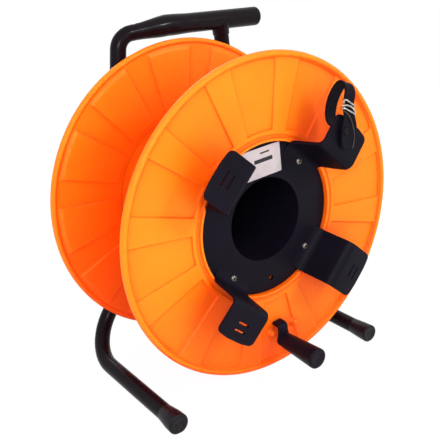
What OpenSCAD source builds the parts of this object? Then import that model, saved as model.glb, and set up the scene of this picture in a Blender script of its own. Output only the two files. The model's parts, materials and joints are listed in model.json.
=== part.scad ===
// Portable cable reel: two moulded flanges on a hollow core, turning on a stub axle
// that a bent-tube carrying frame holds. Four bracket arms on the front keep the
// loose cable tail, and a crank winds the drum.
// X runs across the reel, Y from the front to the back, Z up from the floor.
// The origin is on the floor, in the middle of the overall box.

/* [Flanges] */
// Outside diameter of both flanges
flange_d = 380; // [340:5:460]
// Distance between the middles of the two rim beads
drum_w = 166; // [140:2:220]
// Thickness of the rolled bead round each rim
rim_bead_d = 9; // [7:0.5:12]
// Wall thickness of the moulded flange panels
web_t = 4; // [3:0.5:5]
// Number of sunk fan panels round a flange
panel_count = 12; // [8:1:16]
// Angle that one sunk panel spans
panel_angle = 19; // [12:0.5:20]
// Depth of a sunk panel
panel_depth = 2; // [1:0.25:2.5]
// Distance from the core to the inner edge of a panel
panel_gap = 6; // [4:1:32]
// Angle that the drum has turned from its neutral place
drum_turn = 5.5; // [0:0.5:30]

/* [Core and hub] */
// Outside diameter of the winding core
core_d = 196; // [194:1:236]
// Wall of the winding core
core_wall = 4; // [3:0.5:6]
// Distance from the core's wall in to the edge of the hub plate
hub_edge = 3; // [2:0.5:5]
// Thickness of the hub plate
hub_plate_t = 4; // [3:0.5:5]
// Width of the hub plate's ring round the pocket
hub_ring_w = 41.5; // [39:0.5:51]
// Wall of the pocket
hub_wall = 3.5; // [2.5:0.5:5]
// Distance from the hub plate's edge in to the arm screws
screw_inset = 15; // [13:1:17]
// Diameter of the arm screws' holes
screw_hole_d = 4.4; // [3:0.1:5]
// Diameter of the spare hole in the hub plate
spare_hole_d = 6; // [4:0.5:8]

/* [Axle] */
// Diameter of the axle
axle_d = 20; // [16:1:24]
// Radial play of the hub's bearing on the axle
axle_play = 0.05; // [0.02:0.01:0.1]
// Clearance between the flanges' rims and the floor
floor_gap = 12.5; // [10:0.5:60]
// Across-flats width of the axle nut
nut_af = 30; // [28:1:36]

/* [Arms] */
// Width of each bracket arm
arm_w = 57; // [40:1:60]
// Thickness of the arms
arm_t = 4; // [3:0.5:5]
// Straight length of the stand-off part
arm_reach = 32; // [25:1:45]
// Length of the outer plate
arm_plate_l = 35; // [30:1:40]
// How much longer a strap slot is than the strap is wide
slot_play = 2; // [2:0.5:9]
// How much wider a strap slot is than the strap is thick
slot_gap = 0.8; // [0.8:0.1:2.2]
// Distance between the two strap slots
slot_pitch = 9; // [8:0.5:12]

/* [Strap] */
// Width of the strap
strap_w = 15; // [9:1:18]
// Thickness of the strap
strap_t = 1.8; // [1.2:0.1:2.2]
// Height of the strap loop above the outer slot
strap_loop_h = 53; // [44:1:60]

/* [Crank] */
// Distance from the flange's rim in to the crank grip's axis
crank_inset = 34; // [30:1:45]
// Length of the crank grip
grip_l = 58; // [50:1:90]
// Diameter of the crank grip at its root
grip_root_d = 19.5; // [16:0.5:24]
// Diameter of the crank grip at its tip
grip_tip_d = 25; // [20:0.5:30]

/* [Frame] */
// Outside diameter of the frame's steel tube
tube_d = 19.5; // [16.5:0.5:23.5]
// Wall of the tube
tube_wall = 1.5; // [1:0.25:2.5]
// Distance between the middles of the two feet
foot_spread = 304; // [290:1:340]
// Distance between the uprights at the handle
top_spread = 151; // [130:1:170]
// Distance between the uprights at the knees
knee_spread = 216; // [206:1:236]
// Height of the knees above the floor
knee_h = 64; // [56:1:80]
// Height of the handle tube's axis above the flanges' rims
handle_gap = 14.5; // [14:0.5:50]
// How far the feet reach in front of the front flange's rim
foot_reach = 27; // [10:1:60]
// Distance from the drum's back to the frame tubes
frame_gap = 4; // [3:0.5:10]
// Wall of the rubber foot caps
cap_wall = 1.5; // [1.5:0.25:5.25]
// Length of the foot caps
cap_l = 26; // [22:1:45]
// Wall of the handle grip
handle_wall = 2.25; // [2.25:0.25:6.25]
// Length of the handle grip
handle_l = 146; // [140:1:180]

/* [Hidden] */
$fn = 64;

// Colours of the materials
orange_plastic = [1, 0.5, 0.1];
black_plastic = [0.12, 0.12, 0.14];
black_paint = [0.09, 0.09, 0.1];
black_rubber = [0.1, 0.1, 0.1];
steel = [0.75, 0.76, 0.78];

// Small fits
eps = 0.01;
fit = 0.3;
snug = 0.1;

// Flange section, counted along the axle from the middle of the rim bead
rim_r = flange_d / 2;
bead_r = rim_bead_d / 2;
web_front = -1;
web_back = web_front + web_t;
core_r = core_d / 2;
panel_in_r = core_r + panel_gap;
panel_out_r = rim_r - rim_bead_d;
panel_back_wall = 1.5;

// Hub seat in the front flange
core_in_r = core_r - core_wall;
spigot_r = core_in_r - fit;
hub_r = core_in_r - hub_edge;
hub_screw_r = hub_r - screw_inset;
seat_r = hub_r + 0.5;
lip_w = 3;
lip_rise = 1.5;
groove_w = 4.5;
groove_depth = 1.2;
hub_front = 2.9;
hub_back = hub_front + hub_plate_t;
ledge_t = 4;
ledge_in_r = hub_screw_r - 9;

// Back end of the hub and the axle
axle_h = rim_r + floor_gap;
bearing_r = axle_d / 2 + axle_play;
sleeve_r = axle_d / 2 + 12;
pocket_r = hub_r - hub_ring_w;
pocket_end_t = 6;
rear_web_in = drum_w - web_back;
pocket_end = rear_web_in - pocket_end_t;
sleeve_end = drum_w + bead_r - 0.5;
collar_front = sleeve_end + fit;
tube_r = tube_d / 2;
handle_z = axle_h + rim_r + handle_gap;
handle_r = tube_r + handle_wall;
frame_depth = drum_w + bead_r + frame_gap + tube_r;
bracket_t = 5;
bracket_front = frame_depth - bracket_t / 2;
bracket_h = 64;
collar_r = axle_d / 2 + 6;
nut_l = 12;
axle_tip = pocket_end - fit - nut_l - 2;

// Arms: angles between a straight-out heading and the stand-off, and the plate
arm_angles = [45, 135, 225, 315];
arm_tab_in = hub_screw_r - 10;
arm_tab_l = 14;
arm_root_turn = 80;
arm_root_bend = 9;
arm_plate_turn = 84;
arm_plate_bend = 8;
arm_corner_r = 6;
arm_notch_depth = 1.8;
arm_notch_angle = 2 * asin((arm_w / 2 + 0.5) / seat_r);
slot_from_tip = 12;
slot_l = strap_w + slot_play;
slot_w = strap_t + slot_gap;
round_over = 0.03;

// Strap: woven through the plate's slots, then a loop that stands upright in front of the drum
strap_gap = 0.4;
strap_stub_at = 3;
strap_slot_bend = 2.2;
strap_out = 8;
strap_foot_bend = 8;
strap_turn = 39.5;
strap_loop_w = 25;
strap_end_r = 8.6;
strap_tail_drop = 17;
buckle_wire_d = 2;
buckle_pitch = 8.5;
buckle_from_top = 29;

// Crank: the lever is a flat strip that stands out of its slot and turns outwards to the grip
crank_r = rim_r - crank_inset;
lever_w = 12;
lever_in_r = crank_r - 22;
lever_t = 4;
lever_rise = 11;
lever_hook_end = web_back + panel_depth + 1;
pin_d = 8;
pin_l = grip_l - 8;
pin_root = 3.6;
lever_face = web_front - lever_rise;
grip_root = lever_face - fit;
grip_tip_round = 4;

// Frame; a bend's wall is a touch fuller than the straight runs that reach into it
cap_sole = 0.5;
cap_d = tube_d + 2 * cap_wall;
cap_end = 3;
foot_front_z = cap_d / 2 - cap_sole;
knee_bend = 25;
top_bend = tube_r + 10.25;
kink_bend = 40;
bend_full = 0.03;
run_into = 0.8;
handle_kink = -6;
corner_drop = 6;
grip_swell = 1;
grip_taper_l = 44;

// The overall box runs from the crank's tip to the back of the tubes
box_front = grip_root - grip_l;
box_back = frame_depth + handle_r + grip_swell;
y_shift = -(box_front + box_back) / 2;

// Vector helpers
function unit(v) = v / norm(v);
function turn_between(a, b) = acos(unit(a) * unit(b));

// Places the axle's own frame: local Z runs back along the axle, local X to the right
module on_axle() {
    translate([0, y_shift, axle_h]) rotate([-90, 0, 0]) children();
}

// The same for what turns with the drum
module on_drum() {
    on_axle() rotate([0, 0, -drum_turn]) children();
}

// Puts children at an angle counted anticlockwise as seen from the front
module at_angle(a) {
    rotate([0, 0, -a]) children();
}

// Sector of a flat ring, between two radii and over an angle centred on local X
module ring_sector(r_in, r_out, angle, h) {
    reach = r_out / cos(angle / 2) + 1;
    half = reach * sin(angle / 2);
    intersection() {
        difference() {
            cylinder(r = r_out, h = h);
            translate([0, 0, -1]) cylinder(r = r_in, h = h + 2);
        }
        linear_extrude(h) polygon([[0, 0], [reach * cos(angle / 2), -half], [reach * cos(angle / 2), half]]);
    }
}

// Flange panel disc with its rim bead and fan panels, from an inner radius outwards
module flange_disc(r_in) {
    difference() {
        union() {
            rotate_extrude() {
                translate([r_in, web_front]) square([rim_r - bead_r - r_in, web_t]);
                translate([rim_r - bead_r, 0]) circle(r = bead_r);
            }
            for (i = [0 : panel_count - 1]) {
                at_angle(i * 360 / panel_count) translate([0, 0, web_back - eps])
                    ring_sector(panel_in_r - panel_back_wall, panel_out_r + 1, panel_angle + 1, panel_depth);
            }
        }
        for (i = [0 : panel_count - 1]) {
            at_angle(i * 360 / panel_count) translate([0, 0, web_front - 1])
                ring_sector(panel_in_r, panel_out_r, panel_angle, panel_depth + 1);
        }
    }
}

module front_flange() {
    color(orange_plastic) on_drum() difference() {
        union() {
            flange_disc(seat_r);
            rotate_extrude() {
                translate([seat_r, web_front - lip_rise]) square([lip_w, web_t + lip_rise]);
                translate([seat_r, web_front]) square([spigot_r - seat_r, hub_back + ledge_t - web_front]);
                translate([ledge_in_r, hub_back]) square([spigot_r - ledge_in_r, ledge_t]);
            }
        }
        rotate_extrude() translate([seat_r + lip_w, web_front - 1]) square([groove_w, groove_depth + 1]);
        for (a = arm_angles) {
            at_angle(a) {
                translate([hub_screw_r, 0, hub_back - 1]) cylinder(d = screw_hole_d, h = ledge_t + 2);
                translate([0, 0, web_front - lip_rise - 1])
                    ring_sector(ledge_in_r, seat_r + lip_w + 0.5, arm_notch_angle, lip_rise + 1 + arm_notch_depth);
            }
        }
        at_angle(-90) crank_slot();
    }
}

// Slot that the crank lever is pressed into
module crank_slot() {
    translate([lever_in_r - snug, -lever_w / 2 - snug, web_front - 1])
        cube([lever_t + 2 * snug, lever_w + 2 * snug, web_t + panel_depth + 3]);
}

module rear_flange() {
    color(orange_plastic) on_drum() translate([0, 0, drum_w]) mirror([0, 0, 1]) union() {
        flange_disc(sleeve_r + fit);
        rotate_extrude() translate([spigot_r - 3, web_back - eps]) square([3, 5]);
    }
}

module drum_core() {
    color(orange_plastic) on_drum() translate([0, 0, web_back]) rotate_extrude()
        translate([core_in_r, 0]) square([core_wall, drum_w - 2 * web_back]);
}

// Front plate of the hub, with the arms' screw holes
module hub_plate() {
    color(black_plastic) on_drum() difference() {
        rotate_extrude() translate([pocket_r, hub_front]) square([hub_r - pocket_r, hub_plate_t]);
        for (a = arm_angles) {
            at_angle(a) translate([hub_screw_r, 0, hub_front - 1]) cylinder(d = screw_hole_d, h = hub_plate_t + 2);
        }
        at_angle(-90) translate([hub_screw_r, 0, hub_front - 1]) cylinder(d = spare_hole_d, h = hub_plate_t + 2);
    }
}

// Wall of the pocket that runs back through the core
module hub_cup() {
    color(black_plastic) on_drum() rotate_extrude() translate([pocket_r, hub_back])
        square([hub_wall, pocket_end - hub_back]);
}

// End wall of the pocket and the sleeve that runs on the axle
module hub_bearing() {
    color(black_plastic) on_drum() rotate_extrude() {
        translate([bearing_r, pocket_end]) square([pocket_r + hub_wall - bearing_r, pocket_end_t]);
        translate([bearing_r, pocket_end]) square([sleeve_r - bearing_r, sleeve_end - pocket_end]);
    }
}

// Middle line of a strip, as points and headings: each move is [straight run, bend radius, turn],
// and a positive turn is anticlockwise
bend_steps = 8;
function run_end(at, heading, move) = at + move[0] * [cos(heading), sin(heading)];
function bend_point(at, heading, move, part) =
    let (h = heading + move[2] * part)
    at + sign(move[2]) * move[1] * [sin(h) - sin(heading), cos(heading) - cos(h)];
function strip_line(at, heading, moves, i = 0) = i == len(moves) ? [[at, heading]] :
    let (move = moves[i], p = run_end(at, heading, move))
    concat([[at, heading]],
        move[2] == 0 ? [] : [for (k = [0 : bend_steps - 1]) [bend_point(p, heading, move, k / bend_steps),
            heading + move[2] * k / bend_steps]],
        strip_line(bend_point(p, heading, move, 1), heading + move[2], moves, i + 1));

// Outline of the strip: its middle line moved to both sides by half the thickness
function strip_side(line, d) = [for (p = line) p[0] + d * [-sin(p[1]), cos(p[1])]];
function strip_outline(line, t) =
    let (left = strip_side(line, t / 2), right = strip_side(line, -t / 2))
    concat(left, [for (i = [len(right) - 1 : -1 : 0]) right[i]]);

// Arm, in a plane through the axle: its first coordinate runs outwards and its second one back
arm_moves = [
    [arm_tab_l, arm_root_bend, -arm_root_turn],
    [arm_reach, arm_plate_bend, arm_plate_turn],
    [arm_plate_l, 0, 0]
];
arm_line = strip_line([arm_tab_in, hub_front - arm_t / 2], 0, arm_moves);
plate_at = arm_line[2 * bend_steps + 2][0];
plate_heading = arm_plate_turn - arm_root_turn;

// Carries children to the start of an arm's outer plate, with local X along the plate
module at_arm_plate() {
    translate([plate_at[0], 0, plate_at[1]]) rotate([0, -plate_heading, 0]) children();
}

// What is cut from the outer plate: two strap slots, and the corners outside their rounding
module plate_cuts() {
    translate([0, 0, -arm_t]) linear_extrude(2 * arm_t) {
        for (u = [outer_slot_at, inner_slot_at]) {
            translate([u - slot_w / 2, -(slot_l - slot_w) / 2]) square([slot_w, slot_l - slot_w]);
            for (s = [-1, 1]) {
                translate([u, s * (slot_l - slot_w) / 2]) circle(r = slot_w / 2 + round_over);
            }
        }
        for (s = [-1, 1]) {
            translate([arm_plate_l - arm_corner_r, s * (arm_w / 2 - arm_corner_r)]) difference() {
                translate([0, s > 0 ? 0 : -arm_corner_r - 1]) square(arm_corner_r + 1);
                circle(r = arm_corner_r + round_over);
            }
        }
    }
}

module bracket_arm(a) {
    color(black_plastic) on_drum() at_angle(a) difference() {
        translate([0, arm_w / 2, 0]) rotate([90, 0, 0]) linear_extrude(arm_w)
            polygon(strip_outline(arm_line, arm_t));
        translate([hub_screw_r, 0, hub_front - arm_t - 1]) cylinder(d = screw_hole_d, h = arm_t + 2);
        at_arm_plate() plate_cuts();
    }
}

module arm_upper_right() { bracket_arm(arm_angles[0]); }
module arm_upper_left() { bracket_arm(arm_angles[1]); }
module arm_lower_left() { bracket_arm(arm_angles[2]); }
module arm_lower_right() { bracket_arm(arm_angles[3]); }

// Weave of the strap in the plate's plane through the axle, up to where it leaves the outer slot
outer_slot_at = arm_plate_l - slot_from_tip;
inner_slot_at = outer_slot_at - slot_pitch;
weave = arm_t / 2 + strap_gap + strap_t / 2;
through = 2 * (weave - strap_slot_bend);
weave_moves = [
    [inner_slot_at - strap_slot_bend - strap_stub_at, strap_slot_bend, -90],
    [through, strap_slot_bend, 90],
    [slot_pitch - 2 * strap_slot_bend, strap_slot_bend, 90],
    [through + strap_out, 0, 0]
];

// Loop of the strap, in a plane turned from the arm's: up behind, over, and down in front of the plate
outer_slot_r = plate_at[0] + outer_slot_at * cos(plate_heading);
mid_slot_r = outer_slot_r - slot_pitch / 2;
loop_side = mid_slot_r * sin(strap_turn);
loop_low = outer_slot_r * cos(strap_turn);
loop_front = plate_at[1] - weave - strap_t - fit;
loop_start = plate_at[1] + outer_slot_at * sin(plate_heading) + weave;
loop_side_r = (strap_loop_w / 2 - strap_end_r * sin(40)) / (1 - cos(50));
loop_rise = loop_side_r * sin(50) + strap_end_r * (1 - cos(40)) + strap_t / 2;
loop_back_run = strap_loop_h - strap_foot_bend - loop_rise;
loop_moves = [
    [loop_front + strap_loop_w - strap_foot_bend - loop_start, strap_foot_bend, -90],
    [loop_back_run, loop_side_r, -50],
    [0, strap_end_r, -80],
    [0, loop_side_r, -50],
    [loop_back_run + strap_foot_bend + strap_tail_drop, 0, 0]
];

module on_strap_loop() {
    on_drum() at_angle(arm_angles[0] + strap_turn) translate([0, loop_side, 0]) children();
}

// Strip of the strap's width along a middle line
module strap_strip(line) {
    translate([0, strap_w / 2, 0]) rotate([90, 0, 0]) linear_extrude(strap_w) polygon(strip_outline(line, strap_t));
}

module strap() {
    color(black_rubber) {
        on_drum() at_angle(arm_angles[0]) at_arm_plate()
            strap_strip(strip_line([strap_stub_at, weave], 0, weave_moves));
        on_strap_loop() strap_strip(strip_line([loop_low, loop_start], 90, loop_moves));
    }
}

// Slider buckle round the front leg of the strap: two loops joined by side bars
module strap_buckle() {
    wire = buckle_wire_d;
    in_w = strap_w + 1;
    in_h = strap_t + 0.6;
    out_w = in_w + 2 * wire;
    out_h = in_h + 2 * wire;
    at = loop_low + strap_loop_h - buckle_from_top;
    color(steel) on_strap_loop() translate([at, 0, loop_front]) rotate([0, 90, 0]) difference() {
        union() {
            for (s = [-1, 1]) {
                translate([-out_h / 2, -out_w / 2, s * buckle_pitch / 2 - wire / 2]) cube([out_h, out_w, wire]);
                translate([-wire / 2, s * (out_w - wire) / 2 - wire / 2, -buckle_pitch / 2])
                    cube([wire, wire, buckle_pitch]);
            }
        }
        translate([-in_h / 2, -in_w / 2, -buckle_pitch]) cube([in_h, in_w, 2 * buckle_pitch]);
    }
}

// Crank parts, in the drum's frame at the lowest fan panel
module on_crank() {
    on_drum() at_angle(-90) children();
}

module crank_lever() {
    color(black_plastic) on_crank() difference() {
        union() {
            translate([lever_in_r, -lever_w / 2, lever_face]) cube([crank_r - lever_in_r, lever_w, lever_t]);
            translate([lever_in_r, -lever_w / 2, lever_face]) cube([lever_t, lever_w, lever_hook_end - lever_face]);
            translate([crank_r, 0, lever_face]) cylinder(d = grip_root_d, h = lever_t);
        }
        translate([crank_r, 0, lever_face - 1]) cylinder(d = pin_d + 2 * snug, h = lever_t + 2);
    }
}

module crank_pin() {
    color(steel) on_crank() translate([crank_r, 0, grip_root - pin_l]) cylinder(d = pin_d, h = pin_l + fit + pin_root);
}

module crank_grip() {
    root_r = grip_root_d / 2;
    tip_r = grip_tip_d / 2;
    color(black_plastic) on_crank() translate([crank_r, 0, grip_root]) mirror([0, 0, 1]) difference() {
        rotate_extrude() {
            polygon([[0, 0], [root_r, 0], [tip_r, grip_l - grip_tip_round], [0, grip_l - grip_tip_round]]);
            translate([0, grip_l - grip_tip_round - eps]) square([tip_r - grip_tip_round, grip_tip_round + eps]);
            intersection() {
                translate([tip_r - grip_tip_round, grip_l - grip_tip_round]) circle(r = grip_tip_round);
                translate([0, grip_l - grip_tip_round - eps]) square([tip_r + 1, grip_tip_round + 1]);
            }
        }
        translate([0, 0, -1]) cylinder(r = pin_d / 2 + axle_play, h = pin_l + 1 + fit);
    }
}

// Straight run of tube between two points
module tube_run(a, b, r, r_in) {
    d = b - a;
    translate(a) rotate([0, acos(d[2] / norm(d)), atan2(d[1], d[0])]) linear_extrude(norm(d)) difference() {
        circle(r = r);
        if (r_in > 0) circle(r = r_in);
    }
}

// Bend of tube round a corner, from heading h1 to heading h2
module tube_bend(corner, h1, h2, bend_r, r, r_in) {
    turn = turn_between(h1, h2);
    towards = unit(h2 - h1);
    middle = corner + towards * bend_r / cos(turn / 2);
    start = corner - h1 * bend_r * tan(turn / 2);
    x = unit(start - middle);
    z = cross(x, h1);
    m = [
        [x[0], h1[0], z[0], middle[0]],
        [x[1], h1[1], z[1], middle[1]],
        [x[2], h1[2], z[2], middle[2]],
        [0, 0, 0, 1]
    ];
    multmatrix(m) rotate_extrude(angle = turn) translate([bend_r, 0]) difference() {
        circle(r = r + bend_full);
        if (r_in > 0) circle(r = r_in - bend_full);
    }
}

// Tube along a list of points, with one bend radius for each inner point
module bent_tube(points, bends, r, r_in = 0) {
    n = len(points);
    heading = [for (i = [0 : n - 2]) unit(points[i + 1] - points[i])];
    cut = [for (i = [0 : n - 1])
        i == 0 || i == n - 1 ? 0 : bends[i - 1] * tan(turn_between(heading[i - 1], heading[i]) / 2)];
    union() {
        for (i = [0 : n - 2]) {
            tube_run(points[i] + heading[i] * max(0, cut[i] - run_into),
                points[i + 1] - heading[i] * max(0, cut[i + 1] - run_into), r, r_in);
        }
        for (i = [1 : n - 2]) {
            tube_bend(points[i], heading[i - 1], heading[i], bends[i - 1], r, r_in);
        }
    }
}

frame_y = frame_depth + y_shift;
upright_lean = atan2((knee_spread - top_spread) / 2, handle_z - knee_h);
foot_out = (foot_spread - knee_spread) / 2;
foot_lean = atan2(foot_out, knee_h - tube_r);
knee_cut = knee_bend * tan((foot_lean - upright_lean) / 2);
corner_bend = min(58, norm([foot_out, knee_h - tube_r]) - knee_cut - 1);
foot_front_y = -foot_reach + cap_end + y_shift;
foot_fall = (foot_front_z - tube_r) / (frame_y - corner_bend - foot_front_y);
corner_z = tube_r - foot_fall * corner_bend;

// Half distance between the uprights at a height
function upright_x(z) = top_spread / 2 + (handle_z - z) / (handle_z - knee_h) * (knee_spread - top_spread) / 2;

// Points that one side of the frame shares: foot, rear corner and knee
function side_points(s) = [
    [s * foot_spread / 2, foot_front_y, foot_front_z],
    [s * foot_spread / 2, frame_y, corner_z],
    [s * knee_spread / 2, frame_y, knee_h]
];
top_corner = [-upright_x(handle_z - corner_drop), frame_y, handle_z - corner_drop];
kink_point = [handle_kink, frame_y, handle_z];
grip_end = handle_kink + handle_l;
left_points = concat(side_points(-1), [top_corner, kink_point, [grip_end - 12, frame_y, handle_z]]);
right_top = handle_z - tube_r - tube_r * sin(upright_lean) - snug;
right_points = concat(side_points(1), [[upright_x(right_top), frame_y, right_top]]);

module frame_tube_left() {
    color(black_paint) bent_tube(left_points, [corner_bend, knee_bend, top_bend, kink_bend],
        tube_r, tube_r - tube_wall);
}

module frame_tube_right() {
    color(black_paint) bent_tube(right_points, [corner_bend, knee_bend], tube_r, tube_r - tube_wall);
}

module axle_bracket() {
    top = axle_h + bracket_h / 2;
    low = axle_h - bracket_h / 2;
    color(black_paint) difference() {
        translate([0, bracket_front + bracket_t + y_shift, 0]) rotate([90, 0, 0]) linear_extrude(bracket_t)
            polygon([[-upright_x(low), low], [upright_x(low), low], [upright_x(top), top], [-upright_x(top), top]]);
        for (s = [-1, 1]) {
            tube_run([s * upright_x(low - 20), frame_y, low - 20], [s * upright_x(top + 20), frame_y, top + 20],
                tube_r + snug / 2, 0);
        }
        on_axle() translate([0, 0, bracket_front - 1]) cylinder(r = axle_d / 2 + axle_play, h = bracket_t + 2);
    }
}

module axle() {
    color(steel) on_axle() rotate_extrude() {
        translate([0, axle_tip]) square([axle_d / 2, bracket_front + bracket_t + 1 - axle_tip]);
        translate([0, collar_front]) square([collar_r, bracket_front - collar_front]);
        translate([0, bracket_front + bracket_t]) square([collar_r - 2, 5]);
    }
}

module axle_nut() {
    color(steel) on_axle() translate([0, 0, pocket_end - fit - nut_l]) difference() {
        cylinder(d = nut_af / cos(30), h = nut_l, $fn = 6);
        translate([0, 0, -1]) cylinder(r = bearing_r, h = nut_l + 2);
    }
}

// Rubber grip: it swells along the rising tube to the kink, then thins and runs level to its end
module handle_grip() {
    round_r = 5;
    swell_r = handle_r + grip_swell;
    rise = unit(kink_point - top_corner);
    taper_start = kink_point - rise * grip_taper_l;
    socket_z = handle_z - handle_r - 2;
    color(black_rubber) difference() {
        union() {
            translate(taper_start) rotate([0, acos(rise[2]), 0])
                cylinder(r1 = tube_r + 0.8, r2 = swell_r - 0.4, h = grip_taper_l + 2);
            translate([handle_kink - 2, frame_y, handle_z]) rotate([0, 90, 0]) rotate_extrude() {
                polygon([[0, 0], [swell_r, 0], [swell_r, 6], [handle_r, 34], [handle_r, handle_l - round_r],
                    [0, handle_l - round_r]]);
                translate([0, handle_l - round_r - eps]) square([handle_r - round_r, round_r + eps]);
                translate([handle_r - round_r, handle_l - round_r]) intersection() {
                    circle(r = round_r);
                    translate([-eps, -eps]) square([round_r + 1, round_r + 1]);
                }
            }
            translate([top_spread / 2, frame_y, socket_z]) cylinder(r = tube_r + 1.5, h = handle_r + 2);
        }
        tube_run(taper_start - rise, kink_point + rise * 0.5, tube_r + snug + 0.15, 0);
        tube_run(kink_point - [0.5, 0, 0], [grip_end - 12 + fit, frame_y, handle_z], tube_r + snug, 0);
        tube_run([upright_x(handle_z - 40), frame_y, handle_z - 40], [upright_x(handle_z - 6), frame_y, handle_z - 6],
            tube_r + 2 * snug, 0);
    }
}

// Rubber cap on the front end of a foot, with a flat sole on the floor
module foot_cap(s) {
    p = side_points(s);
    back = unit(p[1] - p[0]);
    mouth = p[0] + back * (cap_l - cap_end);
    color(black_rubber) difference() {
        tube_run(p[0] - back * cap_end, mouth, cap_d / 2, 0);
        tube_run(p[0], mouth + back, tube_r + snug, 0);
        translate([p[0][0] - cap_d, p[0][1] - cap_d, -10]) cube([2 * cap_d, cap_l + 2 * cap_d, 10]);
    }
}
module foot_cap_left() { foot_cap(-1); }
module foot_cap_right() { foot_cap(1); }

front_flange();
rear_flange();
drum_core();
hub_plate();
hub_cup();
hub_bearing();
arm_upper_right();
arm_upper_left();
arm_lower_left();
arm_lower_right();
strap();
strap_buckle();
crank_lever();
crank_pin();
crank_grip();
frame_tube_left();
frame_tube_right();
axle_bracket();
axle();
axle_nut();
handle_grip();
foot_cap_left();
foot_cap_right();
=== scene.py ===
import json
import math

import bmesh
import bpy
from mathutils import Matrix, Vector
from mathutils.geometry import tessellate_polygon


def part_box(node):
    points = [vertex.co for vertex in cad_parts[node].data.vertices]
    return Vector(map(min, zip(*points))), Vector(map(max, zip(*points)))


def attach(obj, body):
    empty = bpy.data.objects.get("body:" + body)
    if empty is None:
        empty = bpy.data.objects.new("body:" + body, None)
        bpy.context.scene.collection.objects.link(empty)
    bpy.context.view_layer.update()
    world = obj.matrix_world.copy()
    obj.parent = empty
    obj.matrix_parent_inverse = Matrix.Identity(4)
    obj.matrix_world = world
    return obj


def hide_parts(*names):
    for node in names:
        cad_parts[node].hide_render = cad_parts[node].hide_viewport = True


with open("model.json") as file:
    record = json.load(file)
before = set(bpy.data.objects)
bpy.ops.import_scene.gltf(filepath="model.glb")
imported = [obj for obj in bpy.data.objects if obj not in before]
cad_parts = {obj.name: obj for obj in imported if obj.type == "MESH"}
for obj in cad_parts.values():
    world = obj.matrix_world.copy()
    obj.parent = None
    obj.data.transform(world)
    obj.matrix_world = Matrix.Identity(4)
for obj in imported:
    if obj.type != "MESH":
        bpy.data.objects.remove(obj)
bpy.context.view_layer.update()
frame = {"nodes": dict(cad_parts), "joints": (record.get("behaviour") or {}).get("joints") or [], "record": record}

MM = 0.001
scene = bpy.context.scene

# ---------------------------------------------------------------- places taken from the frame
# Height of the axle, the crank pin from it, the front rim's plane, and the drum's size
JOINTS = {joint["name"]: joint for joint in frame["joints"]}
AXLE_Z = JOINTS["drum_spin"]["pos_m"][2] / MM
CRANK_AT = (JOINTS["grip_spin"]["pos_m"][0] / MM, JOINTS["grip_spin"]["pos_m"][2] / MM - AXLE_Z)
CRANK_R = math.hypot(*CRANK_AT)
BEAD_R = 4.5
FRONT_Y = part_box("front_flange")[0].y / MM + BEAD_R
RIM_R = (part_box("front_flange")[1].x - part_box("front_flange")[0].x) / 2 / MM
DRUM_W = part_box("rear_flange")[1].y / MM - BEAD_R - FRONT_Y
# Degrees that the drum stands turned at rest, and where its arms are on it
DRUM_TURN = 5.5
ARM_ANGLES = {"upper_right": 45, "upper_left": 135, "lower_left": 225, "lower_right": 315}


def from_axle(x, z, depth):
    """Point in metres from mm right of the axle, mm above it, and depth back from the rim."""
    return Vector((x * MM, (FRONT_Y + depth) * MM, (AXLE_Z + z) * MM))


def on_drum(r, angle, depth, side=0.0):
    """The same from a radius and an angle anticlockwise in the drum, and mm sideways from it."""
    a = math.radians(angle + DRUM_TURN)
    return from_axle(r * math.cos(a) - side * math.sin(a),
                     r * math.sin(a) + side * math.cos(a), depth)


# ---------------------------------------------------------------- camera
# A longish lens, left of the reel and above its axle
SENSOR_MM, LENS_MM = 36, 60.08
CAMERA_FROM_AXLE = (-497.85, 296.97, -605.22)
CAMERA_TURN = (69.3204, 1.9366, -36.2042)

camera_data = bpy.data.cameras.new("camera")
camera_data.sensor_width = SENSOR_MM
camera_data.lens = LENS_MM
camera_data.clip_end = 50
camera = bpy.data.objects.new("camera", camera_data)
camera.location = from_axle(*CAMERA_FROM_AXLE)
camera.rotation_euler = [math.radians(a) for a in CAMERA_TURN]
scene.collection.objects.link(camera)
scene.camera = camera


# ---------------------------------------------------------------- materials
def rgb(hex_colour):
    """sRGB hex to the linear values that a shader takes."""
    parts = [int(hex_colour[i:i + 2], 16) / 255 for i in (1, 3, 5)]
    return [c / 12.92 if c <= 0.04045 else ((c + 0.055) / 1.055) ** 2.4 for c in parts] + [1]


def add(tree, kind, links=(), stops=(), **settings):
    """Adds one node. settings are its attributes, or its inputs as i_Name or i_number;
    links are (from socket, input of this node); stops are the (place, colour) of a ramp."""
    node = tree.nodes.new(kind)
    for place, colour in stops[2:]:
        node.color_ramp.elements.new(place)
    for i, (place, colour) in enumerate(stops):
        node.color_ramp.elements[i].position = place
        node.color_ramp.elements[i].color = colour
    for name, value in settings.items():
        if name.startswith("i_"):
            key = name[2:]
            key = int(key) if key.isdigit() else key.replace("_", " ")
            node.inputs[key].default_value = value
        else:
            setattr(node, name, value)
    for source, target in links:
        tree.links.new(source, node.inputs[target])
    return node


def finish_of(name):
    """An empty material, its nodes, and the object's own coordinates, in metres."""
    material = bpy.data.materials.new(name)
    material.use_nodes = True
    tree = material.node_tree
    tree.nodes.clear()
    return material, tree, add(tree, "ShaderNodeTexCoord").outputs["Object"]


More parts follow.
